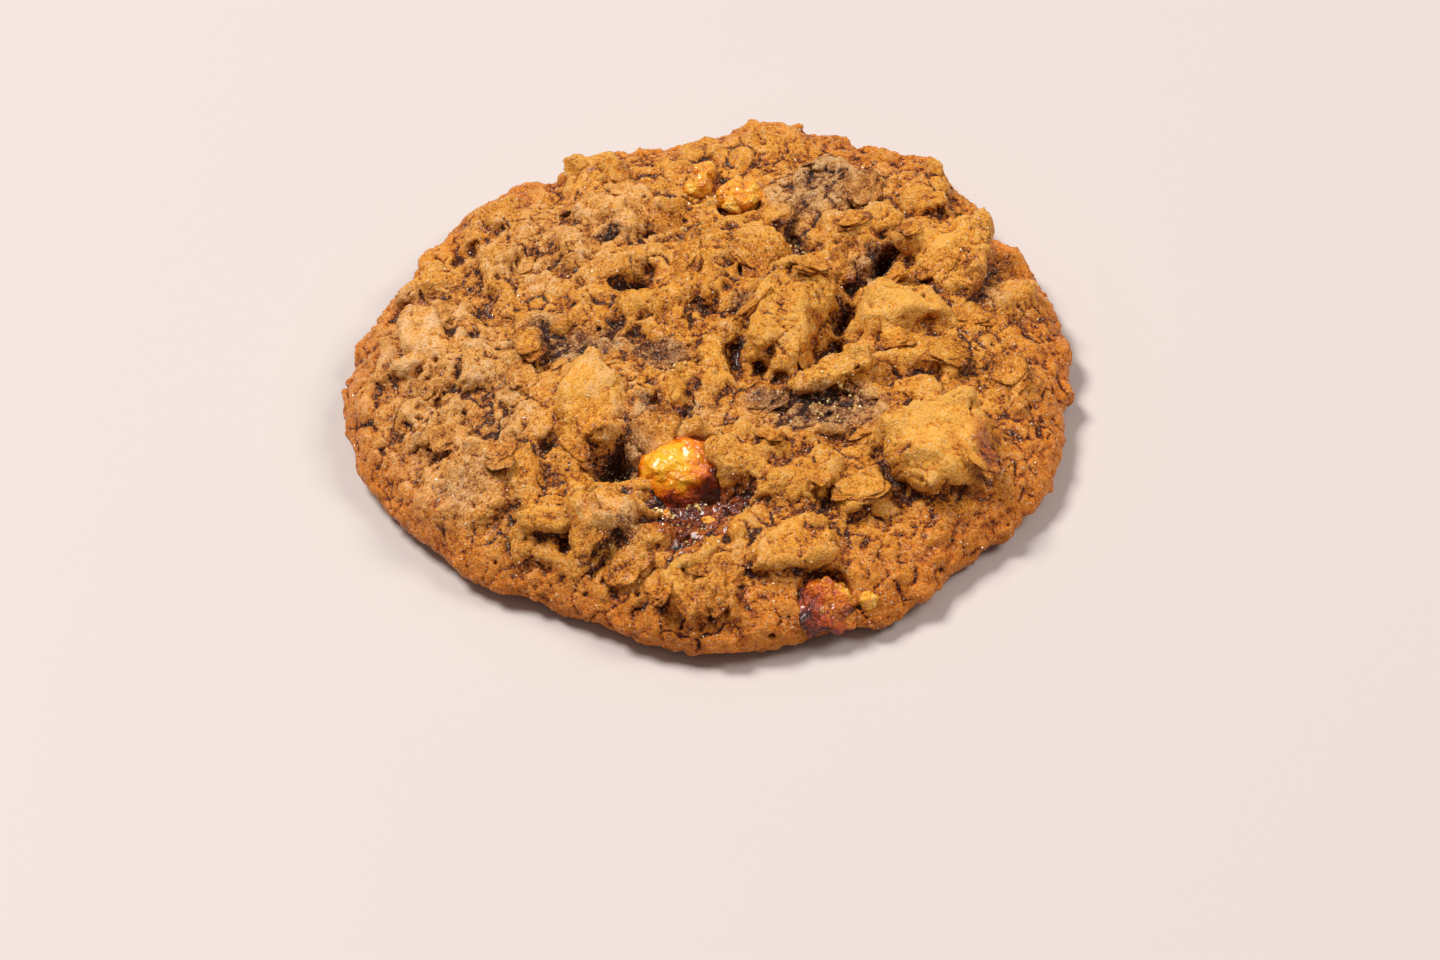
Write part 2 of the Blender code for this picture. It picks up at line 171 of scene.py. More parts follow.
SOAKED = (
    (-3.4, -27.4, 14, 4.6, -5, 1.5), (2.2, -28.4, 6.4, 4.6, 0, 1.4), (-3.6, -31.2, 13.5, 9, 0, 1.3),
    (-4.8, -34.6, 7, 7, -20, 1.0), (5.0, -30.4, 4.4, 3, 0, 0.6), (-12.2, -20.8, 5, 5, 0, 0.6),
    (-4.0, -13.4, 3.4, 3, 0, 0.8), (16.2, -3.9, 7.4, 5, 60, 1.0), (20.8, 8.8, 8.4, 3.4, 82, 0.8),
    (13.4, 17.8, 7, 3.4, -48, 1.0), (-6.0, 13.8, 7, 4.4, 5, 1.1), (1.6, 22.3, 8, 3, 0, 0.8),
    (33.5, -26.5, 5, 9, 15, 0.9), (36.5, 4.0, 4.4, 4, 0, 0.6), (5.4, 30.6, 8, 6, 0, 0.8),
    (11.2, -45.0, 9, 8, 0, 0.8), (-35.0, -21.0, 3.4, 3, 0, 0.6), (19.0, 2.0, 5, 3, 75, 0.7),
    (4.6, -1.2, 6, 2.2, 78, 0.6), (36.0, -22.0, 5, 6, 0, 0.5), (9.6, -47.4, 3, 2, 0, 0.5),
)  # fmt: skip
CRUMB_GAP = 2.2 * MM  # between the middles of neighbouring loose crumbs
CRUMB_RADII = (0.6 * MM, 1.9 * MM)
CRUMB_TRIES = 9000
DOUGH_GRAIN = 0.42 * MM  # size of the skin's cells in the first kneading
SKIN_GRAIN = 0.36 * MM  # and in the last
SKIN_TRIANGLES = 196000
GRANULES = (4.6, 2.2)  # millimetres across the coarse and the fine granules that the dough curdles into
CRACK_SHARES = (0.09, 0.18)  # of a granule that the cracks between take up
CRACK_DEPTH = 0.45  # millimetres
GRANULE_DEPTH = 0.22
WANDER = 1.4 * MM  # how far an outline drawn on the skin strays
WANDER_SIZE = 2.6  # millimetres from one stray to the next
THIN_NECK = 0.7 * MM  # what is thinner is left whole, and cracks reach their depth THICKENS further
THICKENS = 1.5 * MM
CREASE_DRAW = 0.9  # how much deeper the narrow and the broad creases draw in
VALLEY_DRAW = 0.28
PORE_GAP = 5.5 * MM
PORE_RADII = (0.3 * MM, 0.6 * MM)
PORE_TRIES = 900


def ball(divisions):
    """Corners and faces of a ball, one unit in radius."""
    form = bmesh.new()
    bmesh.ops.create_icosphere(form, subdivisions=divisions, radius=1)
    corners = np.array([corner.co for corner in form.verts])
    faces = np.array([[corner.index for corner in face.verts] for face in form.faces])
    form.free()
    return corners, faces


def arrays_of(mesh):
    """The corners and triangles of a mesh as arrays."""
    mesh.calc_loop_triangles()
    corners = np.empty(len(mesh.vertices) * 3)
    mesh.vertices.foreach_get("co", corners)
    faces = np.empty(len(mesh.loop_triangles) * 3, np.int64)
    mesh.loop_triangles.foreach_get("vertices", faces)
    return corners.reshape(-1, 3), faces.reshape(-1, 3)


def mesh_object(name, corners, faces):
    mesh = bpy.data.meshes.new(name)
    mesh.from_pydata(corners, [], faces)
    mesh.shade_smooth()
    made = bpy.data.objects.new(name, mesh)
    bpy.context.scene.collection.objects.link(made)
    return made


def joined(parts):
    """Several (corners, faces) as one."""
    starts = np.cumsum([0] + [len(corners) for corners, faces in parts[:-1]])
    return (
        np.concatenate([corners for corners, faces in parts]),
        np.concatenate([faces + start for (corners, faces), start in zip(parts, starts)]),
    )


def knead(piece, grain, softening):
    """Makes one closed skin of all that a piece holds, and lets its creases slacken."""
    remesh = piece.modifiers.new("knead", "REMESH")
    remesh.mode = "VOXEL"
    remesh.voxel_size = grain
    remesh.use_smooth_shade = True
    slacken = piece.modifiers.new("slacken", "SMOOTH")
    slacken.factor = 0.5
    slacken.iterations = softening
    evaluated = piece.evaluated_get(bpy.context.evaluated_depsgraph_get())
    mesh = bpy.data.meshes.new_from_object(evaluated)
    piece.modifiers.clear()
    piece.data = mesh


def spread(corners, faces, gap, lowest, tries):
    """Points scattered over a surface above a height, no two nearer than the gap: places, normals."""
    a, b, c = (corners[faces[:, k]] for k in range(3))
    across = np.cross(b - a, c - a)
    size = np.linalg.norm(across, axis=1)
    weight = size * ((a + b + c)[:, 2] / 3 > lowest)
    picks = chance.choice(len(faces), tries, p=weight / weight.sum())
    u, v = chance.random((2, tries, 1))
    over = u + v > 1
    u, v = np.where(over, 1 - u, u), np.where(over, 1 - v, v)
    places = a[picks] + u * (b - a)[picks] + v * (c - a)[picks]
    kept = []
    cells = {}
    for index, place in enumerate(places):
        cell = tuple((place // gap).astype(int))
        near = [
            other
            for dx in (-1, 0, 1) for dy in (-1, 0, 1) for dz in (-1, 0, 1)
            for other in cells.get((cell[0] + dx, cell[1] + dy, cell[2] + dz), ())
        ]
        if all(np.sum((places[other] - place) ** 2) > gap * gap for other in near):
            cells.setdefault(cell, []).append(index)
            kept.append(index)
    return places[kept], (across / size[:, None])[picks[kept]]


def axes_from(normal, turn):
    """A matrix whose third axis is the normal and whose first is turned by that angle from +X."""
    normal = np.array(normal) / np.linalg.norm(normal)
    first = np.array((math.cos(turn), math.sin(turn), 0))
    first -= normal * (first @ normal)
    first /= np.linalg.norm(first)
    return np.stack([first, np.cross(normal, first), normal], axis=1)


def knobbly(corners, size, roughness, where):
    """Pushes a ball's corners in and out; size is that of the knobs."""
    pushes = [1 + roughness * noise.noise(Vector(corner) / size + Vector(where)) for corner in corners]
    return corners * np.array(pushes)[:, None]


def chipped(corners, flats, crispness):
    """A ball's corners pulled in to flats with rounded edges between."""
    flats = np.array(flats)
    facing = flats[:, :3] / np.linalg.norm(flats[:, :3], axis=1, keepdims=True)
    pull = (np.clip(corners @ facing.T, 0, None) / flats[:, 3]) ** crispness
    return corners / pull.sum(axis=1, keepdims=True) ** (1 / crispness)


def random_flats(count):
    """Flats that face every way, for a broken lump: a cube's six, and others that cut its corners."""
    facing = chance.normal(size=(count, 3))
    facing /= np.linalg.norm(facing, axis=1, keepdims=True)
    cube = np.array([(*side, 0.95) for side in (*np.eye(3), *-np.eye(3))])
    return np.concatenate([cube, np.column_stack([facing, chance.uniform(0.7, 0.95, count)])])


def ovals(points, places):
    """How far inside the ovals each point lies, by the one it is deepest in: an oval's last number at its
    middle, and 0 at its outline."""
    most = np.zeros(len(points))
    for x, y, length, width, turn, amount in places:
        c, s = math.cos(math.radians(turn)), math.sin(math.radians(turn))
        dx, dy = points[:, 0] / MM - x, points[:, 1] / MM - y
        inside = 1 - (2 * (dx * c + dy * s) / length) ** 2 - (2 * (dy * c - dx * s) / width) ** 2
        most = np.maximum(most, amount * np.clip(inside, 0, 1))
    return most


def wandered(points):
    """The same points, moved about a little, so that an oval measured on them has an uneven outline."""
    return points + WANDER * np.array([noise.noise_vector(p / WANDER_SIZE) for p in map(Vector, points / MM)])


def granulated(points):
    """How near each point is to a crack between granules, 0 to 1, and how far down its granule's side."""
    cracked, rounded = np.zeros(len(points)), np.zeros(len(points))
    patchy = np.array([noise.noise(p / 6) for p in map(Vector, points / MM)])
    parts = np.clip(0.55 - 1.2 * patchy, 0.1, 1), np.clip(0.15 + 1.2 * patchy, 0, 0.8)
    places = [Vector(place) for place in wandered(points) / MM]
    for size, share, part in zip(GRANULES, CRACK_SHARES, parts):
        near, next_near = np.array([noise.voronoi(place / size)[0][:2] for place in places]).T
        cracked = np.maximum(cracked, part * np.clip(1 - (next_near - near) / share, 0, 1))
        rounded += part * near**2
    return cracked, rounded


def edges_of(mesh):
    edges = np.empty(len(mesh.edges) * 2, np.int64)
    mesh.edges.foreach_get("vertices", edges)
    return edges.reshape(-1, 2)


def normals_of(mesh):
    normals = np.empty(len(mesh.vertices) * 3)
    mesh.vertices.foreach_get("normal", normals)
    return normals.reshape(-1, 3)


def evened(values, edges, rounds):
    """Values, one row for each corner of a mesh, evened out with their neighbours' that many times."""
    values = values.reshape(len(values), -1)
    count = len(values)
    shares = np.bincount(edges.ravel(), minlength=count)[:, None]
    one, other = edges.T
    for _ in range(rounds):
        sums = np.stack([
            np.bincount(one, column[other], count) + np.bincount(other, column[one], count)
            for column in values.T
        ], axis=1)
        values = 0.5 * values + 0.5 * sums / shares
    return values


def moved(mesh, corners):
    mesh.vertices.foreach_set("co", corners.ravel())
    mesh.update()


cad_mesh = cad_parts["cookie_dough"].data
cad_corners, cad_faces = arrays_of(cad_mesh)
cad_surface = BVHTree.FromPolygons(cad_corners.tolist(), cad_faces.tolist())
DOWN = Vector((0, 0, -1))
LISTED_HEIGHT = 8  # millimetres: of the crust that the lists are drawn up for
MOST_RAISED = 3.6
NUT_MIDDLE = (-3.0, -24.0)  # what lies within 9 mm of it is listed where it is, and the rest settles
NUT_REACH = 9
NUT_FADE = 8


def settled(spots):
    """The same spots, on the raised middle: each lies nearer the near side by as much as the crust there
    stands over the height that it is listed for."""
    lying = []
    for x, y, *rest in spots:
        place = cad_surface.ray_cast(Vector((x, y - 2, 100)) * MM, DOWN)[0]
        raised = min(max(place.z / MM - LISTED_HEIGHT, 0), MOST_RAISED) if place else 0
        away = min(max((math.dist((x, y), NUT_MIDDLE) - NUT_REACH) / NUT_FADE, 0), 1)
        lying.append((x, y - raised * away, *rest))
    return lying


CLOTS, CRACKS, SMOOTH, DAMP, GOLDEN_AND_LIT, PALE, SOAKED = (
    settled(spots) for spots in (CLOTS, CRACKS, SMOOTH, DAMP, GOLDEN_AND_LIT, PALE, SOAKED)
)
parts = [(cad_corners, cad_faces)]
big_ball = ball(4)
small_ball = ball(2)
for x, y, length, width, turn, stand in CLOTS:
    place, normal, _, _ = cad_surface.ray_cast(Vector((x, y, 100)) * MM, DOWN)
    thickness = CLOT_THICKNESS * min(width, length)
    unit = knobbly(chipped(big_ball[0], random_flats(7), CLOT_CRISPNESS), 0.8, 0.22, (x, y, 0))
    unit = knobbly(unit, 0.35, 0.16, (y, x, 0))
    shape = unit * (length * MM / 2, width * MM / 2, thickness * MM / 2) * CLOT_SPREAD
    lean = (Vector(normal) + Vector((0, 0, 1))).normalized()
    rise = np.array(lean) * (stand - thickness / 2) * MM
    parts.append((shape @ axes_from(lean, math.radians(turn)).T + np.array(place) + rise, big_ball[1]))
for middle, size, turn in SMEAR:
    unit = knobbly(big_ball[0], 0.6, 0.3, middle)
    lie = axes_from((0.25, -0.1, 1), math.radians(turn))
    parts.append((unit * np.array(size) / 2 * MM @ lie.T + np.array(middle) * MM, big_ball[1]))
for topping in ("glazed_nut", "amber_chunk", "candied_fruit"):
    low, high = (np.array(corner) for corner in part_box(topping))
    half = (high - low) / 2  # of the topping, which the dough holds from below
    bedding = big_ball[0] * half * (1.12, 1.12, 0.75)
    parts.append((bedding + (low + high) / 2 - (0, 0, 0.6 * half[2]), big_ball[1]))
crust = mesh_object("oat_crust", *joined(parts))
knead(crust, DOUGH_GRAIN, 5)

# Loose crumbs of dough and oat gather between the clots, and fewer lie on top of them.
dough_corners, dough_faces = arrays_of(crust.data)
parts = [(dough_corners, dough_faces)]
crumb_places, crumb_normals = spread(dough_corners, dough_faces, CRUMB_GAP, 1.4 * MM, CRUMB_TRIES)
on_clot = ovals(crumb_places, [(*clot[:5], 1.0) for clot in CLOTS])
in_sugar = ovals(crumb_places, SOAKED)
for place, normal, covered, drowned in zip(crumb_places, crumb_normals, on_clot, in_sugar):
    if chance.random() < 1.1 * covered + drowned:
        continue
    radius = CRUMB_RADII[0] + (CRUMB_RADII[1] - CRUMB_RADII[0]) * chance.random() ** 1.6
    size = radius * np.array((chance.uniform(1, 1.7), 1, chance.uniform(0.5, 0.8)))
    shape = knobbly(small_ball[0], 0.7, 0.4, chance.uniform(0, 99, 3)) * size
    tilt = normal + 0.3 * chance.normal(size=3)
    sunk = size[2] * chance.uniform(0.1, 0.8)
    parts.append((shape @ axes_from(tilt, chance.uniform(0, 6.3)).T + place - normal * sunk, small_ball[1]))
bpy.data.objects.remove(crust)
crust = mesh_object("oat_crust", *joined(parts))
knead(crust, DOUGH_GRAIN, 1)

# Cracks open, creases draw in, and the dough curdles into granules.
corners, faces = arrays_of(crust.data)
normals, edges = normals_of(crust.data), edges_of(crust.data)
top = np.clip((normals[:, 2] + 0.2) * 2, 0, 1) * np.clip((corners[:, 2] - 1 * MM) / (2 * MM), 0, 1)
solid = BVHTree.FromPolygons(corners.tolist(), faces.tolist())
depths = [solid.ray_cast(Vector(p - n * 0.01 * MM), Vector(-n))[3] for p, n in zip(corners, normals)]
thick = np.clip((np.array([depth or 0 for depth in depths]) - THIN_NECK) / THICKENS, 0, 1)
near_average = evened(corners, edges, 14)
crease = np.sum((near_average - corners) * normals, axis=1)
valley = np.sum((evened(near_average, edges, 50) - corners) * normals, axis=1)
places = wandered(corners)
coarse = 1 - 0.85 * np.clip(ovals(places, SMOOTH), 0, 1)
opened = ovals(places, CRACKS)
corners[:, 2] -= opened * MM * np.clip((corners[:, 2] - 1 * MM) / (3 * MM), 0, 1)
drawn = np.clip(crease, 0, 0.4 * MM) * CREASE_DRAW + np.clip(valley, 0, 1 * MM) * VALLEY_DRAW
corners -= normals * (drawn * top * thick)[:, None]
# The insides of holes even out, so that no strands cross them.
corners += (evened(corners, edges, 10) - corners) * np.clip(opened * 1.5, 0, 1)[:, None]
above_tray = np.clip(corners[:, 2] / MM, 0.08, 1)
places = [Vector(place) for place in corners / MM]
rough = np.array([0.24 * noise.noise(place / 1.9) + 0.20 * noise.noise(place / 0.9) for place in places])
rough -= GRANULE_DEPTH * granulated(corners)[1] * coarse
corners += normals * (rough * MM * above_tray * thick)[:, None]
moved(crust.data, corners)
knead(crust, SKIN_GRAIN, 0)

# Thin cracks part the granules, and steam leaves pores. The underside is flat, and needs few faces.
corners, faces = arrays_of(crust.data)
normals, edges = normals_of(crust.data), edges_of(crust.data)
places = [Vector(place) for place in corners / MM]
grain = np.array([0.15 * noise.noise(place / 0.6) + 0.10 * noise.noise(place / 0.33) for place in places])
above_tray = np.clip(corners[:, 2] / MM, 0.08, 1)
coarse = 1 - 0.7 * np.clip(ovals(wandered(corners), SMOOTH), 0, 1)
corners += normals * ((grain - CRACK_DEPTH * granulated(corners)[0] * coarse) * MM * above_tray)[:, None]
tree = KDTree(len(corners))
for index, corner in enumerate(corners):
    tree.insert(corner, index)
tree.balance()
pores, _ = spread(corners, faces, PORE_GAP, 1.5 * MM, PORE_TRIES)
for pore in pores:
    radius = chance.uniform(*PORE_RADII)
    for _, index, distance in tree.find_range(pore, radius):
        corners[index] -= normals[index] * radius * 1.3 * (1 - (distance / radius) ** 2)
corners[:, 2] = np.maximum(corners[:, 2], 0)
moved(crust.data, corners)

low_part = crust.vertex_groups.new(name="underside")
flat = (normals[:, 2] < -0.75) & (corners[:, 2] < 0.8 * MM)
low_part.add(np.flatnonzero(flat).tolist(), 1, "REPLACE")
low_part.add(np.flatnonzero(~flat).tolist(), 0.25, "REPLACE")
thin_out = crust.modifiers.new("thin_out", "DECIMATE")
thin_out.vertex_group = "underside"
thin_out.vertex_group_factor = 2
thin_out.ratio = SKIN_TRIANGLES / (2 * len(corners))
evaluated = crust.evaluated_get(bpy.context.evaluated_depsgraph_get())
skin = bpy.data.meshes.new_from_object(evaluated)
crust.modifiers.clear()
crust.vertex_groups.clear()
crust.data = skin

corners, faces = arrays_of(skin)
normals, edges = normals_of(skin), edges_of(skin)
skin_average = evened(corners, edges, 3)
near_average = evened(skin_average, edges, 12)
far_average = evened(near_average, edges, 110)


def painted(mesh, name, values):
    """Keeps a value at each corner of a mesh for its material to read."""
    layer = mesh.attributes.new(name, "FLOAT", "POINT")
    layer.data.foreach_set("value", np.ascontiguousarray(values, np.float32))


def browned(mesh, corners):
    """Paints on a piece of dough how each place baked, from the lists above; its holes and cracks also get
    painted shade, and its golden places partly painted light.
    """
    places = wandered(corners)
    lists = {"smooth": SMOOTH, "damp": DAMP, "golden": GOLDEN_AND_LIT, "pale": PALE, "soaked": SOAKED}
    for name, spots in lists.items():
        painted(mesh, name, ovals(places, spots))
    # Holes and cracks, at half their depth: painted shade that darkens them.
    painted(mesh, "dark", ovals(places, [(*crack[:5], crack[5] / 2) for crack in CRACKS]))
    outward = np.hypot(corners[:, 0], corners[:, 1]) / MM
    low = np.clip(1.25 - corners[:, 2] / (10 * MM), 0, 1)
    painted(mesh, "toasted", np.clip((outward - 33) / 10, 0, 1) * low)
    painted(mesh, "tray", np.clip(1.1 - corners[:, 2] / (1.6 * MM), 0, 1))


# How far each corner lies below its near and far neighbours, and how near a crack it is: the dough's material
# darkens by these, partly as painted shade.
painted(skin, "seam", np.sum((skin_average - corners) * normals, axis=1) / MM)
painted(skin, "crease", np.sum((near_average - corners) * normals, axis=1) / MM)
painted(skin, "hollow", np.sum((far_average - corners) * normals, axis=1) / MM)
painted(skin, "cracked", granulated(corners)[0])
browned(skin, corners)


class Wire:
    """One value, colour or vector in a material. Sums on values become Math nodes."""

    def __init__(self, tree, socket):
        self.tree, self.socket = tree, socket

    def node(self, kind, settings=(), inputs=(), output=0):
        """Adds a node of that kind, with its settings made first, and gives one of its outputs."""
        made = self.tree.nodes.new("ShaderNode" + kind)
        for name, value in dict(settings).items():
            if name == "stops":
                ramp = made.color_ramp.elements
                while len(ramp) < len(value):
                    ramp.new(0.5)
                for stop, (position, colour) in zip(ramp, value):
                    stop.position, stop.color = position, (*colour, 1)
            else:
                setattr(made, name, value)
        for name, value in dict(inputs).items():
            sockets = made.inputs if isinstance(name, int) else {s.identifier: s for s in made.inputs}
            if isinstance(value, Wire):
                self.tree.links.new(value.socket, sockets[name])
            else:
                sockets[name].default_value = value
        return Wire(self.tree, made.outputs[output])

    def math(self, operation, *values):
        return self.node("Math", {"operation": operation}, dict(enumerate(values)))

    def __add__(self, other):
        return self.math("ADD", self, other)

    __radd__ = __add__

    def __sub__(self, other):
        return self.math("SUBTRACT", self, other)

    def __rsub__(self, other):
        return self.math("SUBTRACT", other, self)

    def __mul__(self, other):
        return self.math("MULTIPLY", self, other)

    __rmul__ = __mul__

    def step(self, low, high):
        """0 below low, 1 above high, and smooth between."""
        return self.node(
            "MapRange",
            {"interpolation_type": "SMOOTHSTEP"},
            {"Value": self, "From Min": low, "From Max": high},
        )

    def mix(self, start, end, blend="MIX"):
        """A colour: start where this is 0, end where it is 1."""
        start, end = (
            value if isinstance(value, Wire) else (*value, 1)
            for value in (start, end)
        )
        return self.node(
            "Mix",
            {"data_type": "RGBA", "blend_type": blend},
            {"Factor_Float": self, "A_Color": start, "B_Color": end},
            2,
        )

    def noise(self, size, detail=2, roughness=0.5, distortion=0, where=0):
        """A noise over this vector, whose features measure about that size."""
        return self.node(
            "TexNoise",
            {"noise_dimensions": "4D"},
            {
                "Vector": self, "W": where, "Scale": 1 / size, "Detail": detail,
                "Roughness": roughness, "Distortion": distortion,
            },
        )

    def cells(self, size):
        """How far this vector is from the middle of its cell, for cells about that size."""
        return self.node("TexVoronoi", (), {"Vector": self, "Scale": 1 / size})

    def bump(self, distance, before=None):
        """This value as relief of that height, on top of what was there before."""
        below = {} if before is None else {"Normal": before}
        return self.node("Bump", (), {"Height": self, "Distance": distance, **below})


def new_finish(name, **constants):
    """A material: gives it, a wire of places on the piece to start its nodes from, and its shader."""
    material = bpy.data.materials.new(name)
    material.use_nodes = True
    shader = material.node_tree.nodes["Principled BSDF"]
    for socket, value in constants.items():
        shader.inputs[socket.replace("_", " ")].default_value = value
    places = material.node_tree.nodes.new("ShaderNodeTexCoord").outputs["Object"]
    return material, Wire(material.node_tree, places), shader


def linked(shader, **wires):
    for socket, wire in wires.items():
        wire.tree.links.new(wire.socket, shader.inputs[socket.replace("_", " ")])


def put_on(piece, material):
    piece.data.materials.clear()
    piece.data.materials.append(material)


# Baked oat dough: golden where it stands out and darker where it is sunk, partly browner dough and partly
# painted shade in its creases, hollows and cracks; damp and grey over melted sugar.
baked, at, shader = new_finish("baked_oat_dough", Specular_IOR_Level=0.28, Coat_Roughness=0.15)
kept = {
    name: at.node("Attribute", {"attribute_name": name}, (), 2)
    for name in (
        "seam", "crease", "hollow", "cracked", "smooth", "damp", "golden", "pale", "soaked", "dark",
        "toasted", "tray",
    )
}
patches = at.noise(8 * MM, 2) - 0.5
blotches = at.noise(2.4 * MM, 3, 0.6, where=3) - 0.5
crumbs = at.noise(0.8 * MM, 3, 0.7, where=5) - 0.5
grains = at.noise(0.30 * MM, 3, 0.75, where=8) - 0.5
# How far each place is sunk: the darkening from it is partly browner dough and partly painted shade.
sunk = kept["seam"] * 1.2 + kept["crease"] * 0.8 + kept["hollow"] * 0.3 + kept["cracked"] * 0.25
shade = sunk.step(-0.30, 0.65) * (1 - kept["smooth"].step(0, 1) * 0.25)
# The tone: random patches and grains, raised on the golden places (partly painted light), lowered where sunk
# (partly painted shade) and in holes and cracks (painted shade).
height = (
    0.78 + patches * 0.6 + blotches * 1.0 + crumbs * 1.1 + grains * 2.2 + kept["golden"] * 0.18
    + kept["pale"] * 0.04 - shade * 0.80 - kept["damp"] * 0.16 - kept["dark"] * 0.35
)
colour = height.node("ValToRGB", {"stops": (
    (0.00, (0.050, 0.009, 0.001)), (0.16, (0.24, 0.048, 0.002)), (0.36, (0.50, 0.140, 0.007)),
    (0.56, (0.74, 0.255, 0.015)), (0.78, (0.87, 0.350, 0.030)), (1.00, (0.94, 0.455, 0.078)),
)}, {"Fac": height})
tan = (
    kept["pale"] * 0.9 + blotches * 1.3 + crumbs * 1.0 + patches * 0.9 - kept["golden"] * 0.30 + 0.12
).step(0, 0.9)
colour = (tan * 0.8).mix(colour, (0.98, 1.16, 3.3), "MULTIPLY")
damp = (kept["damp"] + patches * 0.6 + crumbs * 0.8 - kept["golden"] * 0.4).step(0.15, 1.0)
damp_colour = height.node("ValToRGB", {"stops": (
    (0.05, (0.035, 0.011, 0.006)), (0.3, (0.15, 0.057, 0.025)), (0.55, (0.36, 0.185, 0.083)),
    (0.9, (0.70, 0.43, 0.21)),
)}, {"Fac": height})
colour = (damp * 0.7).mix(colour, damp_colour)
toast = (kept["toasted"] + blotches * 0.9 + patches * 0.5).step(0.05, 1.0)
colour = (toast * 0.9).mix(colour, (0.92, 0.57, 0.16), "MULTIPLY")
tray = (kept["tray"] + blotches * 0.9 + crumbs * 0.4).step(0.1, 0.9)
colour = tray.mix(colour, (0.50, 0.52, 1.2), "MULTIPLY")
soaked = (kept["soaked"] + crumbs * 0.8 + blotches * 0.4).step(0.15, 0.8)
soaked_colour = height.node("ValToRGB", {"stops": (
    (0.05, (0.026, 0.003, 0.001)), (0.3, (0.20, 0.024, 0.002)), (0.55, (0.50, 0.085, 0.004)),
    (0.8, (0.70, 0.21, 0.012)),
)}, {"Fac": height - kept["soaked"] * 0.22 + kept["dark"] * 0.25})
colour = (soaked * 0.95).mix(colour, soaked_colour)
# Pale sugar flecks with less roughness: partly real sugar and partly painted glints.
sugar_flecks_and_glints = at.noise(0.28 * MM, 1, 0.7, where=13).step(0.62, 0.70)
colour = (sugar_flecks_and_glints * 0.5).mix(colour, (0.97, 0.76, 0.46))
specks = 1 - at.noise(0.6 * MM, 1, where=11).step(0.22, 0.28)
colour = (specks * 0.7).mix(colour, (0.07, 0.022, 0.008))
coarse = 1 - kept["smooth"].step(0, 1) * 0.6
relief = (crumbs * coarse).bump(0.7 * MM)
relief = grains.bump(0.40 * MM, before=relief)
linked(
    shader,
    Base_Color=colour,
    Roughness=0.40 - damp * 0.10 - soaked * 0.15 - sugar_flecks_and_glints * 0.2 + crumbs * 0.4,
    Coat_Weight=0.05 + soaked * 0.4,
    Normal=relief,
)
put_on(crust, baked)
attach(crust, "root")
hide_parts("cookie_dough")

# ------------------------------------------------------------------------------------------------
# Rolled oats: each is a steamed grain pressed to a thin plate, with the groove of the grain along its
# middle. They lie in the dough at every angle, coated with it, and an edge or an end stands out.
OATS = (
    # millimetres: x, y, length, width, degrees from +X
    (-8.5, -40.2, 7.0, 3.6, 75), (-5.2, -42.8, 6.6, 3.2, 100), (-2.2, -43.4, 5.0, 3.0, 70),
    (-0.8, -39.8, 7.4, 4.0, 10), (17.0, -29.0, 6.6, 4.2, 0), (25.5, -16.5, 7.2, 4.4, 15),
    (32.0, -28.0, 6.4, 4.6, -50), (-4.0, -8.5, 5.6, 3.4, 85), (-21.5, 5.0, 7.2, 3.6, 85),
    (12.6, 23.4, 5.6, 3.8, 60), (31.0, -8.0, 6.0, 4.0, 20), (21.0, -10.0, 6.0, 4.0, 0),
    (38.5, -12.0, 6.6, 4.4, 80), (-12.4, -36.4, 6.4, 4.4, 20),
)  # fmt: skip
OAT_GAP = 7.0 * MM  # between the middles of the others, which lie anywhere on the middle of the crust
OAT_REACH = 37  # millimetres out from the crust's middle that they lie
OAT_CLEARANCE = 5  # from the middles of those in the list
OAT_LENGTHS = (4.5, 7.5)
OAT_THICKNESS = 0.7 * MM
OAT_SINK = 0.45  # of the crust's bumps under an oat lie below its middle
crust_surface = BVHTree.FromPolygons(corners.tolist(), faces.tolist())


def top_at(x, y):
    """The place on the crust below a point, or None off its edge."""
    return crust_surface.ray_cast(Vector((x, y, 0.1)), DOWN)[0]


def lie_of(x, y, length, width, turn):
    """How the crust lies under an oval: the fitting plane's middle and normal, and heights off it."""
    c, s = math.cos(math.radians(turn)), math.sin(math.radians(turn))
    places = []
    for ring in (0, 0.4, 0.8):
        for angle in np.linspace(0, 2 * math.pi, 12, endpoint=False):
            u, v = ring * math.cos(angle) * length / 2, ring * math.sin(angle) * width / 2
            place = top_at((x + u * c - v * s) * MM, (y + u * s + v * c) * MM)
            if place is not None:
                places.append(place)
    places = np.array(places)
    middle = places.mean(axis=0)
    normal = np.linalg.svd(places - middle)[2][2]
    normal = normal * np.sign(normal[2]) + (0, 0, 0.6)
    normal /= np.linalg.norm(normal)
    return middle, normal, (places - middle) @ normal


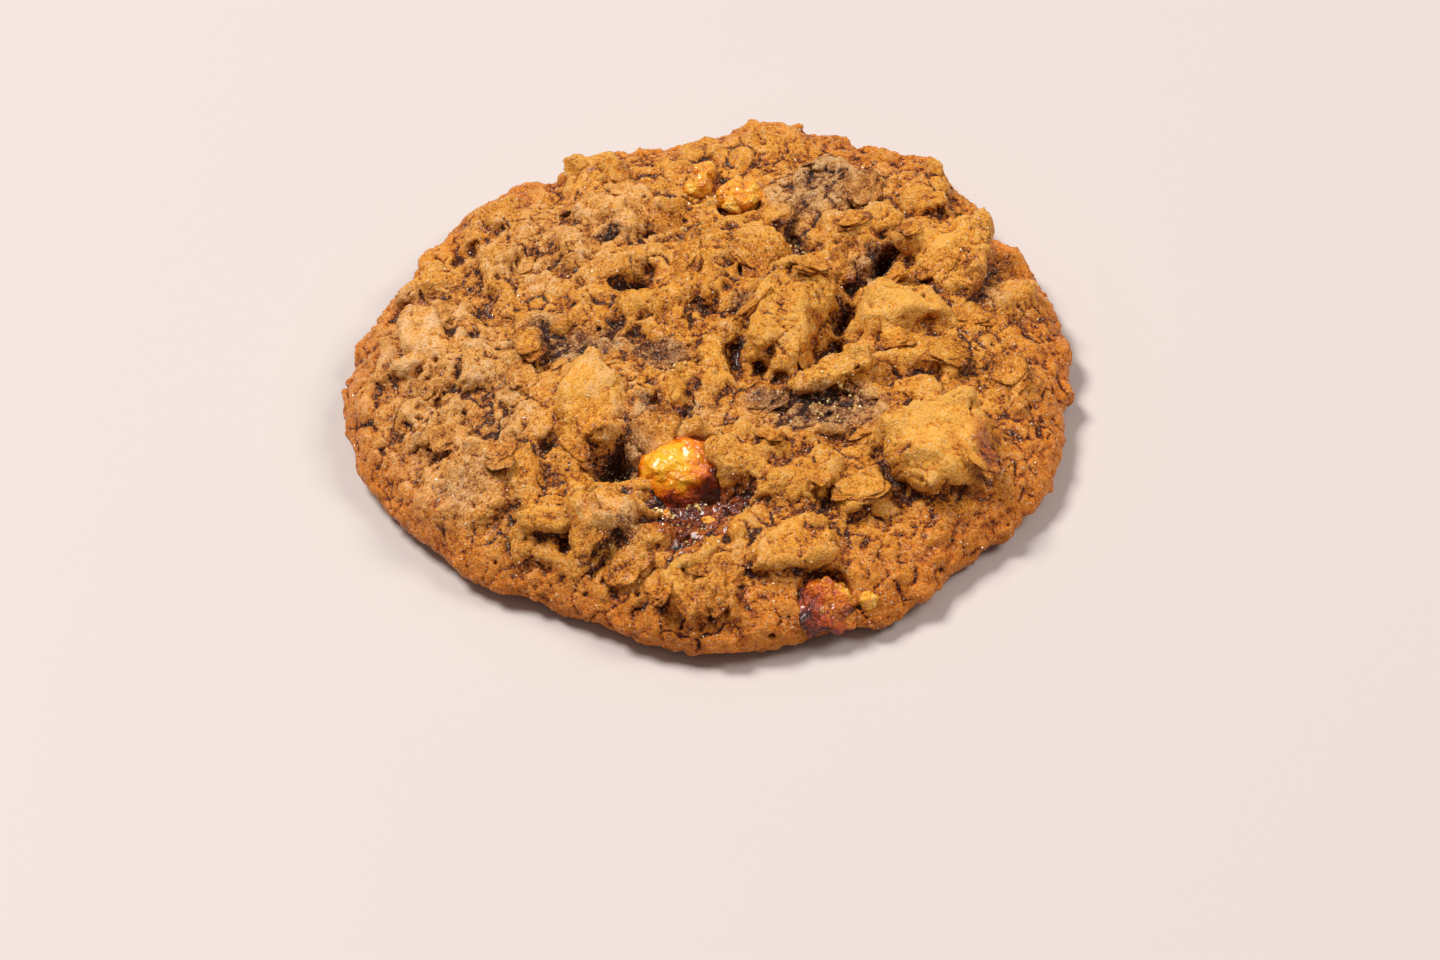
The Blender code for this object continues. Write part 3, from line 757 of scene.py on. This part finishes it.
spots, _ = spread(corners, faces, OAT_GAP, 3 * MM, 600)
listed = settled(OATS)
oats = list(listed)
for x, y, _ in spots / MM:
    length = chance.uniform(*OAT_LENGTHS)
    in_sugar = ovals(np.array([(x, y, 0)]) * MM, SOAKED)[0]
    clear = min(math.hypot(x - oat[0], y - oat[1]) for oat in listed) > OAT_CLEARANCE
    if np.hypot(x, y) < OAT_REACH and in_sugar < 0.2 and clear:
        oats.append((x, y, length, length * chance.uniform(0.5, 0.7), chance.uniform(0, 180)))
disc = big_ball[0]
disc = disc / (np.abs(disc[:, :2]) ** 2).sum(axis=1, keepdims=True).clip(0.2) ** 0.25  # a blunter edge
parts, rims, grooves = [], [], []
for x, y, length, width, turn in oats:
    middle, normal, heights = lie_of(x, y, length, width, turn)
    unit = knobbly(disc, 0.7, 0.6, (x, y, 5))
    unit = knobbly(unit, 0.25, 0.12, (x, y, 8))
    shape = unit * np.array((length / 2 * MM, width / 2 * MM, OAT_THICKNESS / 2))
    groove = np.exp(-((unit[:, 1] / 0.2) ** 2)) * (1 - np.clip(unit[:, 0] ** 2, 0, 1))
    shape[:, 2] -= 0.25 * MM * groove
    shape[:, 2] += [0.45 * MM * noise.noise(Vector(p) / (1.8 * MM)) for p in shape]
    tilt = normal + 0.12 * chance.normal(size=3)
    place = middle + normal * np.quantile(heights, OAT_SINK)
    parts.append((shape @ axes_from(tilt, math.radians(turn)).T + place, big_ball[1]))
    rims.append(np.clip(np.hypot(disc[:, 0], disc[:, 1]) - 0.75, 0, 1))
    grooves.append(groove)
flakes = mesh_object("oat_flakes", *joined(parts))
# The flakes' rims and grooves darken as the dough's creases do, partly as painted shade.
painted(flakes.data, "crease", np.concatenate(rims) * 0.8)
painted(flakes.data, "seam", np.concatenate(grooves) * 0.12)
browned(flakes.data, joined(parts)[0])
put_on(flakes, baked)
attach(flakes, "root")

# ------------------------------------------------------------------------------------------------
# The glazed nut: a chopped nut, candied before it went in, so it is flat where the knife went and
# glassy all over. The dough bakes up round it and keeps one end.
NUT_FLATS = (
    # which way each flat faces, and how far it is from the middle of a nut one unit in radius
    (0.05, -0.35, 0.93, 0.70), (-0.50, 0.35, 0.78, 0.76), (-0.95, -0.10, 0.20, 0.84),
    (-0.50, -0.80, 0.30, 0.80), (0.15, -0.95, 0.25, 0.80), (0.30, 0.75, 0.58, 0.80),
    (0.90, -0.30, 0.30, 0.86), (-0.20, 0.95, 0.00, 0.84), (0.00, 0.00, -1.00, 0.80), (0.60, -0.10, 0.79, 0.80),
)  # fmt: skip
NUT_CRISPNESS = 18
NUT_TURN = math.radians(-10)
NUT_SIZE = 1.04  # of its node's, so that its sides reach into the dough
NUT_DROP = 0.5 * MM
low, high = (np.array(corner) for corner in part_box("glazed_nut"))
fine_ball = ball(6)
unit = knobbly(chipped(fine_ball[0], NUT_FLATS, NUT_CRISPNESS), 0.5, 0.12, (4, 1, 0))
unit = knobbly(unit, 0.16, 0.04, (2, 7, 0))
shape = (unit @ axes_from((0, 0, 1), NUT_TURN).T) * (high - low) / 2 * NUT_SIZE
nut = mesh_object("candied_nut", shape + (low + high) / 2 - (0, 0, NUT_DROP), fine_ball[1])
# The glaze's tone reads these: lighter toward the top and the near side, darker toward its right end and its
# outline, partly the glaze's depth and partly painted shade.
painted(nut.data, "up", unit[:, 2] - 0.25 * unit[:, 1])
painted(nut.data, "across", unit[:, 0])
painted(nut.data, "edge", np.linalg.norm(unit - (-0.30, -0.35, 0.75), axis=1))
amber, at, shader = new_finish(
    "amber_glaze", Coat_Weight=0.45, Coat_Roughness=0.05, Specular_IOR_Level=0.45
)
up = at.node("Attribute", {"attribute_name": "up"}, (), 2)
across = at.node("Attribute", {"attribute_name": "across"}, (), 2)
cloud = at.noise(2.2 * MM, 3, 0.6, 0.6) - 0.5
fine = at.noise(0.5 * MM, 2, 0.6, where=4) - 0.5
edge = at.node("Attribute", {"attribute_name": "edge"}, (), 2)
glaze_tone = up * 0.3 + cloud * 1.5 + fine * 0.6 - across.step(0, 0.6) * 0.3 - edge.step(0.45, 1.1) * 0.42 + 0.66
colour = glaze_tone.node("ValToRGB", {"stops": (
    (0.02, (0.060, 0.006, 0.001)), (0.22, (0.30, 0.030, 0.001)), (0.42, (0.66, 0.115, 0.001)),
    (0.62, (0.86, 0.25, 0.002)), (0.85, (0.93, 0.42, 0.012)),
)}, {"Fac": glaze_tone})
linked(
    shader,
    Base_Color=colour,
    Roughness=0.14 + cloud * 0.2,
    Normal=fine.bump(0.25 * MM, before=cloud.bump(0.8 * MM)),
)
put_on(nut, amber)
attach(nut, "root")
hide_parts("glazed_nut")

# ------------------------------------------------------------------------------------------------
# Burnt sugar: it ran out under the nut, into the holes round it, and set like dark glass.
# Each drop is a lens lying in its hollow, puckered by the dough's granules below.
PUDDLES = (
    # millimetres: x, y, length, width, degrees from +X, how full (0 empty, 1 level with the rim)
    (-4.0, -27.4, 11.0, 3.6, -4, 0.50), (2.0, -28.4, 5.0, 3.6, 0, 0.35), (-7.8, -28.4, 3.6, 2.6, 20, 0.50),
    (-1.7, -30.0, 4.4, 3.0, 0, 0.50), (-11.8, -20.9, 2.8, 2.4, 40, 0.15), (-4.0, -13.6, 2.0, 1.6, 0, 0.2),
    (-5.0, -32.4, 3.0, 2.4, 60, 0.45),
    (16.4, -3.8, 4.0, 3.0, 60, 0.20), (20.8, 8.8, 4.0, 2.0, 82, 0.20), (13.4, 18.0, 3.6, 1.8, -48, 0.35),
    (-5.2, 13.6, 3.4, 2.2, 10, 0.35), (1.6, 22.2, 3.6, 1.6, 0, 0.35), (13.5, -45.2, 1.8, 1.4, 20, 0.70),
)  # fmt: skip
PUDDLE_DEPTH = 1.3 * MM
drop = ball(5)
parts = []
for x, y, length, width, turn, fill in settled(PUDDLES):
    middle, normal, heights = lie_of(x, y, length, width, turn)
    level = np.quantile(heights, fill)
    unit = knobbly(drop[0], 0.6, 0.35, (x, y, 3))
    shape = unit * np.array((length / 2 * MM, width / 2 * MM, PUDDLE_DEPTH))
    shape[:, 2] = np.minimum(shape[:, 2], 0.35 * shape[:, 2])
    shape[:, 2] += [0.32 * MM * noise.noise(Vector(p) / (0.8 * MM)) for p in shape]
    parts.append((shape @ axes_from(normal, math.radians(turn)).T + middle + normal * level, drop[1]))
syrup = mesh_object("burnt_sugar", *joined(parts))
burnt, at, shader = new_finish("burnt_sugar", Coat_Weight=0.5, Coat_Roughness=0.05, Specular_IOR_Level=0.4)
cloud = at.noise(1.6 * MM, 3, 0.6, 0.5) - 0.5
fine = at.noise(0.4 * MM, 2, 0.6, where=4) - 0.5
colour = (cloud * 2 + fine + 0.25).step(0, 1).mix((0.085, 0.010, 0.001), (0.62, 0.10, 0.003))
linked(
    shader,
    Base_Color=colour,
    Roughness=0.2 + fine * 0.3,
    Normal=fine.bump(0.35 * MM, before=cloud.bump(1.2 * MM)),
)
put_on(syrup, burnt)
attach(syrup, "root")

# ------------------------------------------------------------------------------------------------
# Amber sugar: broken lumps of boiled sugar that half melted into the dough. The largest, near the
# far side, stands for its node; the others lie where the sugar fell.
AMBER_LUMPS = (
    # millimetres: x, y, length, width, height, degrees from +X, how far the top stands out
    (2.9, 29.6, 4.8, 3.8, 4.4, 70, 2.9), (3.9, 31.8, 3.4, 2.8, 3.2, 20, 2.2),
    (1.6, 28.4, 2.2, 1.8, 1.6, 0, 0.7), (16.2, -44.2, 3.0, 2.4, 2.0, 20, 0.7),
    (-1.7, -29.9, 2.4, 1.8, 1.6, 10, 0.8), (-7.2, -28.2, 2.4, 1.8, 1.6, 0, 0.8),
)  # fmt: skip
AMBER_PIECES = 7  # that the node's lump is broken into
AMBER_FLATS = 16
AMBER_CRISPNESS = 16


def broken_lump(size, turn, normal, middle):
    """A lump of sugar, chipped all round: corners and faces."""
    unit = chipped(big_ball[0], random_flats(AMBER_FLATS), AMBER_CRISPNESS)
    unit = knobbly(unit, 0.6, 0.16, chance.uniform(0, 99, 3))
    return (unit * np.array(size) / 2) @ axes_from(normal, turn).T + np.array(middle), big_ball[1]


parts = []
low, high = (np.array(corner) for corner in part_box("amber_chunk"))
middle, reach = (low + high) / 2, (high - low) / 2
for index in range(AMBER_PIECES):
    angle = index * 2 * math.pi / (AMBER_PIECES - 1)
    off = np.array((math.cos(angle), math.sin(angle), 0.25)) * reach * (0.52 if index else 0)
    size = reach * (chance.uniform(0.9, 1.3, 3) if index else (1.5, 1.5, 1.7))
    parts.append(broken_lump(size, angle, (0, 0, 1), middle + off))
for x, y, length, width, height, turn, stand in AMBER_LUMPS:
    place = np.array(top_at(x * MM, y * MM))
    rise = np.array((0, 0, stand - height / 2)) * MM
    size = np.array((length, width, height)) * MM
    parts.append(broken_lump(size, math.radians(turn), (0.1, -0.1, 1), place + rise))
lumps = mesh_object("amber_sugar", *joined(parts))
amber_sugar, at, shader = new_finish(
    "amber_sugar", Coat_Weight=0.5, Coat_Roughness=0.05, Specular_IOR_Level=0.5
)
cloud = at.noise(1.8 * MM, 3, 0.6, 0.4) - 0.5
fine = at.noise(0.45 * MM, 2, 0.7, where=4) - 0.5
depth = cloud * 1.6 + fine * 0.9 + 0.68
colour = depth.node("ValToRGB", {"stops": (
    (0.05, (0.16, 0.025, 0.002)), (0.3, (0.50, 0.12, 0.003)), (0.55, (0.82, 0.25, 0.006)),
    (0.8, (0.92, 0.42, 0.02)), (0.97, (0.95, 0.62, 0.14)),
)}, {"Fac": depth})
linked(
    shader,
    Base_Color=colour,
    Roughness=0.25 + fine * 0.6,
    Normal=fine.bump(0.5 * MM, before=at.cells(0.9 * MM).bump(0.3 * MM)),
)
put_on(lumps, amber_sugar)
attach(lumps, "root")
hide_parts("amber_chunk")

# ------------------------------------------------------------------------------------------------
# Candied fruit: a soft sticky piece of peel, maroon where it burnt and amber where it is thin,
# wrinkled, and pressed into the rim.
PEEL_RADII = (3.6 * MM, 3.1 * MM, 1.3 * MM)
PEEL_TURN = 0.5
PEEL_DROP = 0.9 * MM
low, high = (np.array(corner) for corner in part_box("candied_fruit"))
middle = (low + high) / 2
out = (middle[0], middle[1], 0.055)  # it lies along the rim's slope
unit = knobbly(drop[0], 0.7, 0.5, (5, 2, 0))
unit = knobbly(unit, 0.3, 0.22, (1, 3, 0))
unit = knobbly(unit, 0.12, 0.08, (1, 3, 6))
shape = unit * PEEL_RADII @ axes_from(out, PEEL_TURN).T
surface = np.array(top_at(middle[0], middle[1] - 1.0 * MM))
fruit = mesh_object("candied_peel", shape + surface - (0, 0, PEEL_DROP), drop[1])
painted(fruit.data, "across", unit[:, 0])
peel, at, shader = new_finish("candied_peel", Coat_Weight=0.5, Coat_Roughness=0.08, Specular_IOR_Level=0.4)
across = at.node("Attribute", {"attribute_name": "across"}, (), 2)
cloud = at.noise(1.6 * MM, 3, 0.6, 0.5) - 0.5
fine = at.noise(0.4 * MM, 2, 0.7, where=4) - 0.5
glaze_tone = across * 0.40 + cloud * 1.5 + fine * 0.8 + 0.46
colour = glaze_tone.node("ValToRGB", {"stops": (
    (0.02, (0.050, 0.006, 0.002)), (0.25, (0.24, 0.024, 0.002)), (0.5, (0.58, 0.085, 0.002)),
    (0.75, (0.84, 0.23, 0.004)), (0.97, (0.92, 0.44, 0.03)),
)}, {"Fac": glaze_tone})
linked(
    shader,
    Base_Color=colour,
    Roughness=0.26 + fine * 0.4,
    Normal=fine.bump(0.3 * MM, before=cloud.bump(0.8 * MM)),
)
put_on(fruit, peel)
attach(fruit, "root")
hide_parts("candied_fruit")

# ------------------------------------------------------------------------------------------------
# Sugar grains: coarse sugar that didn't melt. Loose grains sit all over the crust, and clusters of
# golden ones stick in the melted sugar.
GRAIN_GAP = 0.85 * MM
GRAIN_SIZES = (0.12 * MM, 0.30 * MM)
GRAIN_TRIES = 9000
CLUSTERS = (
    # millimetres: x, y, radius; how many; grain size
    (-7.2, -28.3, 1.5, 20, 0.42), (-3.0, -26.6, 1.6, 20, 0.38), (3.4, -28.6, 1.6, 8, 0.3),
    (-4.5, -32.5, 3.0, 20, 0.3), (1.6, 22.4, 2.6, 24, 0.45), (13.8, 17.4, 2.2, 18, 0.45),
    (-4.0, -3.0, 2.0, 14, 0.4), (16.0, -13.0, 3.6, 26, 0.4), (9.6, -45.4, 1.4, 12, 0.35),
    (2.8, 29.6, 2.2, 14, 0.4), (16.4, -3.6, 1.8, 10, 0.35), (-12.0, -21.0, 2.6, 22, 0.35),
)  # fmt: skip
crystal = ball(1)


def grain(size, place):
    """One broken crystal, turned any way: corners and faces."""
    unit = chipped(crystal[0], random_flats(4), 10) * chance.uniform(0.7, 1.3, 3)
    return unit * size / 2 @ axes_from(chance.normal(size=3), chance.uniform(0, 6.3)).T + place, crystal[1]


def grain_finish(name, dark, light, roughness):
    made, at, shader = new_finish(name, Roughness=roughness, Specular_IOR_Level=0.8)
    shade = at.noise(0.5 * MM, 1).step(0.3, 0.7)
    linked(shader, Base_Color=shade.mix(dark, light), Coat_Weight=shade * 0.6)
    return made


places, lies = spread(corners, faces, GRAIN_GAP, 1.5 * MM, GRAIN_TRIES)
parts = []
for place, normal in zip(places, lies):
    size = GRAIN_SIZES[0] + (GRAIN_SIZES[1] - GRAIN_SIZES[0]) * chance.random() ** 2
    parts.append(grain(size, place + normal * size * chance.uniform(-0.2, 0.3)))
grains_piece = mesh_object("sugar_grains", *joined(parts))
grains_piece.data.set_sharp_from_angle(angle=math.radians(30))
put_on(grains_piece, grain_finish("loose_sugar", (0.55, 0.30, 0.11), (0.95, 0.80, 0.58), 0.12))
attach(grains_piece, "root")

whole_surface = [crust_surface] + [
    BVHTree.FromPolygons(*(array.tolist() for array in arrays_of(piece.data))) for piece in (syrup, lumps)
]
parts = []
for x, y, radius, count, size in settled(CLUSTERS):
    for _ in range(count):
        out, angle = radius * math.sqrt(chance.random()), chance.uniform(0, 2 * math.pi)
        above = Vector((x + out * math.cos(angle), y + out * math.sin(angle), 100)) * MM
        hits = [surface.ray_cast(above, DOWN)[0] for surface in whole_surface]
        hits = [hit for hit in hits if hit is not None]
        width = size * chance.uniform(0.6, 1.4) * MM
        if hits:
            place = max(hits, key=lambda hit: hit.z)
            parts.append(grain(width, np.array(place) + (0, 0, width * 0.2)))
clusters = mesh_object("golden_sugar", *joined(parts))
clusters.data.set_sharp_from_angle(angle=math.radians(30))
put_on(clusters, grain_finish("golden_sugar", (0.42, 0.20, 0.03), (0.92, 0.68, 0.26), 0.10))
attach(clusters, "root")

# ------------------------------------------------------------------------------------------------
# Floor, light and camera
floor_mesh = bpy.data.meshes.new("floor")
floor_mesh.from_pydata([(-2, -2, 0), (2, -2, 0), (2, 2, 0), (-2, 2, 0)], [], [(0, 1, 2, 3)])
floor = bpy.data.objects.new("floor", floor_mesh)
bpy.context.scene.collection.objects.link(floor)
floor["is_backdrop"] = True
pale = bpy.data.materials.new("pale_floor")
pale.use_nodes = True
pale.node_tree.nodes["Principled BSDF"].inputs["Base Color"].default_value = (0.60, 0.52, 0.48, 1)
pale.node_tree.nodes["Principled BSDF"].inputs["Roughness"].default_value = 0.6
floor_mesh.materials.append(pale)

world = bpy.data.worlds.new("studio")
world.use_nodes = True
world.node_tree.nodes["Background"].inputs["Color"].default_value = (1, 0.98, 0.96, 1)
world.node_tree.nodes["Background"].inputs["Strength"].default_value = 0.21
bpy.context.scene.world = world


def softbox(name, place, size, watts):
    light = bpy.data.lights.new(name, "AREA")
    light.size = size
    light.energy = watts
    lamp = bpy.data.objects.new(name, light)
    lamp.location = place
    lamp.rotation_mode = "QUATERNION"
    lamp.rotation_quaternion = (-Vector(place)).to_track_quat("-Z", "Y")
    bpy.context.scene.collection.objects.link(lamp)


softbox("window", (-0.7, 0.6, 1.6), 0.6, 36)
softbox("fill", (1.0, -0.1, 1.1), 0.6, 11)

VIEW_DISTANCE = 0.48
VIEW_ELEVATION = math.radians(44.8)
VIEW_ROLL = math.radians(-7.7)
aim = Vector((0.0003, -0.0215, 0.006))
lens = bpy.data.cameras.new("camera")
lens.lens = 96
lens.sensor_width = 36
lens.clip_start = 0.02
camera = bpy.data.objects.new("camera", lens)
back = Vector((0, -math.cos(VIEW_ELEVATION), math.sin(VIEW_ELEVATION)))
camera.matrix_world = (
    Matrix.Translation(aim + back * VIEW_DISTANCE)
    @ (-back).to_track_quat("-Z", "Y").to_matrix().to_4x4()
    @ Matrix.Rotation(VIEW_ROLL, 4, "Z")
)
bpy.context.scene.collection.objects.link(camera)
bpy.context.scene.camera = camera
bpy.context.scene.view_settings.view_transform = "Standard"

low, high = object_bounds()
str([list(cad_low), list(cad_high), list(low), list(high)])
